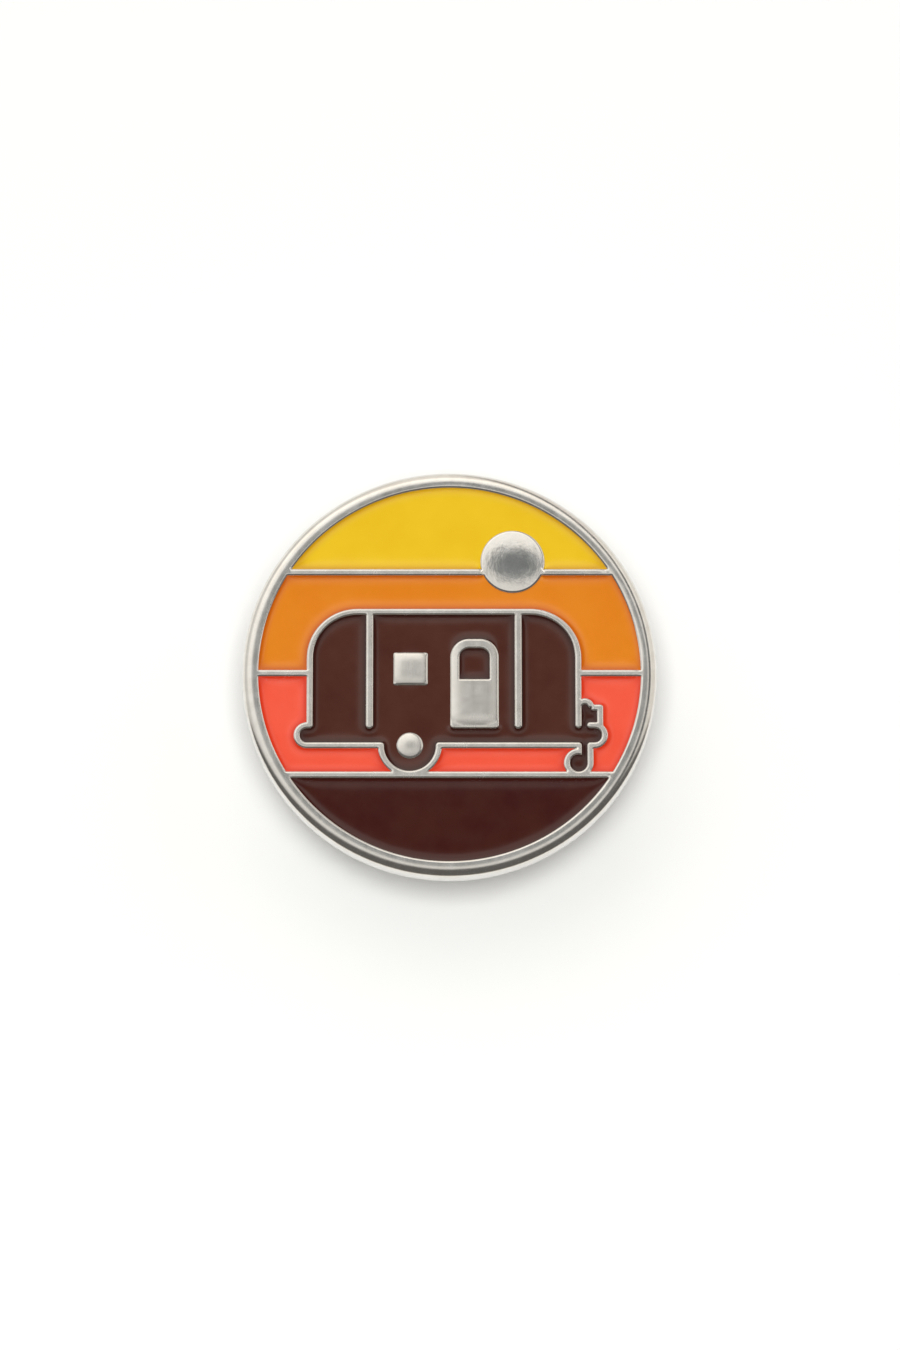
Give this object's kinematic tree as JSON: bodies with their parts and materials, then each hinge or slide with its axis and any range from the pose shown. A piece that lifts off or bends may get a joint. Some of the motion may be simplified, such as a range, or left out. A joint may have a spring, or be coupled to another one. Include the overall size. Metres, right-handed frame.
{
  "type": "enamel pin",
  "caption": "Round soft-enamel lapel pin with a travel trailer at sunset, on posts held by butterfly clutches.",
  "frame": {"origin": "under the badge's middle, on the surface that the clutches' wing lips rest on", "axes": "+Z is the normal of the badge's face, +X runs along the design's band lines to its right, +Y points to the design's top"},
  "size_m": [0.0318, 0.0318, 0.0104],
  "materials": {
    "nickel_plating": "bright polished nickel plating, faint polish streaks",
    "yellow_enamel": "glossy cured enamel",
    "orange_enamel": "glossy cured enamel",
    "coral_enamel": "glossy cured enamel",
    "brown_enamel": "glossy cured enamel",
    "ground_enamel": "glossy cured enamel",
    "post_metal": "plated drawn wire",
    "solder": "dull silver solder",
    "clutch_metal": "plated pressed sheet",
    "spring_steel": "spring wire"
  },
  "bodies": {
    "badge": {"struck_body": "nickel_plating", "yellow_sky_enamel": "yellow_enamel", "orange_sky_enamel": "orange_enamel", "left_coral_enamel": "coral_enamel", "middle_coral_enamel": "coral_enamel", "right_coral_enamel": "coral_enamel", "trailer_enamel": "brown_enamel", "door_window_enamel": "brown_enamel", "ground_enamel": "ground_enamel", "left_post": "post_metal", "right_post": "post_metal", "left_post_solder": "solder", "right_post_solder": "solder"},
    "left_clutch": {"left_clutch_base": "clutch_metal", "left_clutch_cap": "clutch_metal", "left_clutch_spring": "spring_steel"},
    "left_lower_wing_lever": {"left_lower_wing": "clutch_metal"},
    "left_upper_wing_lever": {"left_upper_wing": "clutch_metal"},
    "right_clutch": {"right_clutch_base": "clutch_metal", "right_clutch_cap": "clutch_metal", "right_clutch_spring": "spring_steel"},
    "right_lower_wing_lever": {"right_lower_wing": "clutch_metal"},
    "right_upper_wing_lever": {"right_upper_wing": "clutch_metal"}
  },
  "joints": [
    {"name": "left_clutch_slide", "type": "slide", "parent": "badge", "child": "left_clutch", "axis": [0, 0, -1], "range_m": [-0.0021, 0.008]},
    {"name": "left_lower_wing_hinge", "type": "hinge", "parent": "left_clutch", "child": "left_lower_wing_lever", "pos_m": [-0.007, -0.00168, 0.00362], "axis": [1, 0, 0], "range_deg": [0, 12], "stiffness_Nm_per_rad": 0.005, "springref_deg": -5.73},
    {"name": "left_upper_wing_hinge", "type": "hinge", "parent": "left_clutch", "child": "left_upper_wing_lever", "pos_m": [-0.007, 0.00168, 0.00362], "axis": [-1, 0, 0], "range_deg": [0, 12], "stiffness_Nm_per_rad": 0.005, "springref_deg": -5.73},
    {"name": "right_clutch_slide", "type": "slide", "parent": "badge", "child": "right_clutch", "axis": [0, 0, -1], "range_m": [-0.0021, 0.008]},
    {"name": "right_lower_wing_hinge", "type": "hinge", "parent": "right_clutch", "child": "right_lower_wing_lever", "pos_m": [0.007, -0.00168, 0.00362], "axis": [1, 0, 0], "range_deg": [0, 12], "stiffness_Nm_per_rad": 0.005, "springref_deg": -5.73},
    {"name": "right_upper_wing_hinge", "type": "hinge", "parent": "right_clutch", "child": "right_upper_wing_lever", "pos_m": [0.007, 0.00168, 0.00362], "axis": [-1, 0, 0], "range_deg": [0, 12], "stiffness_Nm_per_rad": 0.005, "springref_deg": -5.73}
  ],
  "couplings": [
    {"joint": "left_lower_wing_hinge", "follows": "left_upper_wing_hinge", "ratio": 1},
    {"joint": "right_lower_wing_hinge", "follows": "right_upper_wing_hinge", "ratio": 1}
  ]
}
